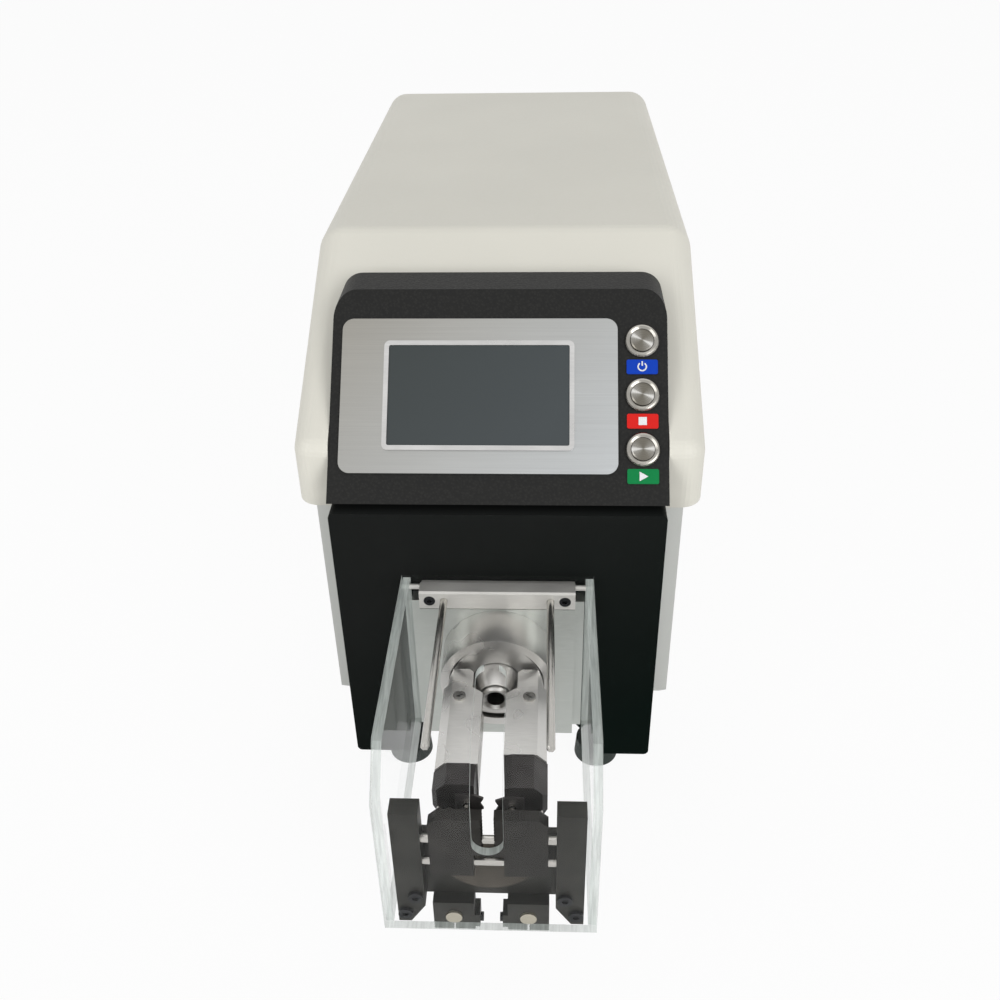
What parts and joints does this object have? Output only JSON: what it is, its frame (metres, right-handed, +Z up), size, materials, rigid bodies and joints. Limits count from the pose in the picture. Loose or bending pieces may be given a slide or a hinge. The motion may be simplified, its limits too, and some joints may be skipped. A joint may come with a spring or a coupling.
{
  "type": "coaxial cable stripping machine",
  "caption": "Bench-top rotary coaxial cable stripper with a sloping touch-screen console, a clear guard over the cutting head and a self-centring cable gripper",
  "frame": {"origin": "centre of the footprint on the surface it stands on", "axes": "+X to the right as seen from the front, +Y from the front to the back, +Z up"},
  "size_m": [0.217, 0.626, 0.288],
  "materials": {
    "body_grey": "light grey powder coat on sheet steel",
    "hood_white": "warm white textured paint",
    "cover_black": "black fine-textured powder coat",
    "console_black": "black leather-grained plastic",
    "brushed_plate": "brushed along its length",
    "frame_silver": "satin",
    "screen_face": "dark glossy touch surface, display off",
    "dark_plastic": "fine texture",
    "button_metal": "turned and lightly brushed",
    "label_colour": "coloured label with a white symbol",
    "aluminium": "clear anodised, milled",
    "bright_steel": "polished",
    "ground_steel": "ground",
    "turned_steel": "fine turned finish",
    "arm_steel": "milled facets",
    "black_steel": "black oxide",
    "blade_steel": "dark coated carbide",
    "disc_bronze": "dull turned bronze",
    "motor_black": "black lamination stack",
    "board_green": "solder mask",
    "rubber": "matt black rubber",
    "clear_acrylic": "clear cast acrylic with polished edges"
  },
  "bodies": {
    "base": {"chassis": "body_grey", "hood": "hood_white", "rear_panel": "body_grey", "front_cover": "cover_black", "feet": "rubber", "console_shell": "console_black", "console_plate": "brushed_plate", "screen_frame": "frame_silver", "touch_screen": "screen_face", "screen_module": "dark_plastic", "button_barrels": "button_metal", "button_labels": "label_colour", "power_inlet": "dark_plastic", "pedal_socket": "bright_steel", "power_supply": "aluminium", "control_board": "board_green", "base_frame": "aluminium", "mount_plate": "aluminium", "top_block": "aluminium", "socket_screws": "black_steel", "guide_rods": "bright_steel", "rails": "ground_steel", "feed_motor": "motor_black", "gripper_shafts": "ground_steel", "gripper_plate": "black_steel", "gripper_wings": "black_steel", "clamp_blocks": "black_steel", "jaw_rods": "bright_steel"},
    "carriage": {"carriage": "aluminium", "carriage_bearings": "ground_steel", "housing": "turned_steel", "spindle_bearings": "ground_steel", "nozzle": "turned_steel", "drive_belt": "rubber", "spindle_motor": "motor_black", "closing_motor": "motor_black"},
    "rotor": {"spindle": "turned_steel", "spindle_pulley": "aluminium", "arm_pins": "bright_steel"},
    "closing_cone": {"closing_cone": "turned_steel"},
    "closing_yoke": {"closing_yoke": "aluminium"},
    "motor_pulley": {"motor_pulley": "aluminium"},
    "feed_screw": {"feed_screw": "bright_steel"},
    "arm_left": {"arm_left": "arm_steel", "holder_left": "black_steel", "blade_left": "blade_steel", "screws_left": "bright_steel"},
    "arm_right": {"arm_right": "arm_steel", "holder_right": "black_steel", "blade_right": "blade_steel", "screws_right": "bright_steel"},
    "cam_disc": {"cam_disc": "disc_bronze"},
    "jaw_left": {"jaw_left": "black_steel"},
    "jaw_right": {"jaw_right": "black_steel"},
    "guard": {"guard_cover": "clear_acrylic", "guard_sides": "clear_acrylic"},
    "power_button": {"power_button": "button_metal"},
    "stop_button": {"stop_button": "button_metal"},
    "start_button": {"start_button": "button_metal"},
    "rocker_switch": {"rocker_switch": "dark_plastic"}
  },
  "joints": [
    {"name": "feed_slide", "type": "slide", "parent": "base", "child": "carriage", "axis": [0, 1, 0], "range_m": [0, 0.03]},
    {"name": "head_spin", "type": "hinge", "parent": "carriage", "child": "rotor", "pos_m": [0, -0.209, 0.107], "axis": [0, -1, 0], "continuous": true},
    {"name": "cone_slide", "type": "slide", "parent": "rotor", "child": "closing_cone", "axis": [0, -1, 0], "range_m": [-0.0055, 0.0026]},
    {"name": "arm_left_pivot", "type": "hinge", "parent": "rotor", "child": "arm_left", "pos_m": [-0.0175, -0.232, 0.107], "axis": [0, 0, 1], "range_deg": [-4.9, 2.34]},
    {"name": "arm_right_pivot", "type": "hinge", "parent": "rotor", "child": "arm_right", "pos_m": [0.0175, -0.232, 0.107], "axis": [0, 0, 1], "range_deg": [-2.34, 4.9]},
    {"name": "yoke_slide", "type": "slide", "parent": "carriage", "child": "closing_yoke", "axis": [0, -1, 0], "range_m": [-0.00551, 0.00261]},
    {"name": "motor_pulley_spin", "type": "hinge", "parent": "carriage", "child": "motor_pulley", "pos_m": [0, -0.071, 0.173], "axis": [0, -1, 0], "continuous": true},
    {"name": "feed_screw_spin", "type": "hinge", "parent": "base", "child": "feed_screw", "pos_m": [0, -0.112, 0.036], "axis": [0, 1, 0], "range_deg": [0, 2162]},
    {"name": "jaw_right_slide", "type": "slide", "parent": "base", "child": "jaw_right", "axis": [1, 0, 0], "range_m": [-0.00235, 0.00298]},
    {"name": "jaw_left_slide", "type": "slide", "parent": "base", "child": "jaw_left", "axis": [-1, 0, 0], "range_m": [-0.00236, 0.00299]},
    {"name": "disc_turn", "type": "hinge", "parent": "base", "child": "cam_disc", "pos_m": [0, -0.3, 0.084], "axis": [0, 1, 0], "range_deg": [-15, 19]},
    {"name": "guard_lift", "type": "hinge", "parent": "base", "child": "guard", "pos_m": [0, -0.1792, 0.1462], "axis": [-1, 0, 0], "range_deg": [0, 85]},
    {"name": "power_button_press", "type": "slide", "parent": "base", "child": "power_button", "axis": [0, 0.7302, -0.6833], "range_m": [0, 0.0016], "stiffness_N_per_m": 500, "springref_m": -0.002},
    {"name": "stop_button_press", "type": "slide", "parent": "base", "child": "stop_button", "axis": [0, 0.7302, -0.6833], "range_m": [0, 0.0016], "stiffness_N_per_m": 500, "springref_m": -0.002},
    {"name": "start_button_press", "type": "slide", "parent": "base", "child": "start_button", "axis": [0, 0.7302, -0.6833], "range_m": [0, 0.0016], "stiffness_N_per_m": 500, "springref_m": -0.002},
    {"name": "rocker_tilt", "type": "hinge", "parent": "base", "child": "rocker_switch", "pos_m": [0.05, 0.301, 0.076], "axis": [1, 0, 0], "range_deg": [0, 16]}
  ],
  "couplings": [
    {"joint": "arm_left_pivot", "follows": "cone_slide", "rad_per_m": 15.4},
    {"joint": "arm_right_pivot", "follows": "cone_slide", "rad_per_m": -15.4},
    {"joint": "yoke_slide", "follows": "cone_slide", "ratio": 1},
    {"joint": "motor_pulley_spin", "follows": "head_spin", "ratio": 2},
    {"joint": "feed_screw_spin", "follows": "feed_slide", "rad_per_m": 1256.6},
    {"joint": "disc_turn", "follows": "jaw_right_slide", "rad_per_m": 111.11},
    {"joint": "jaw_left_slide", "follows": "jaw_right_slide", "ratio": 1}
  ]
}
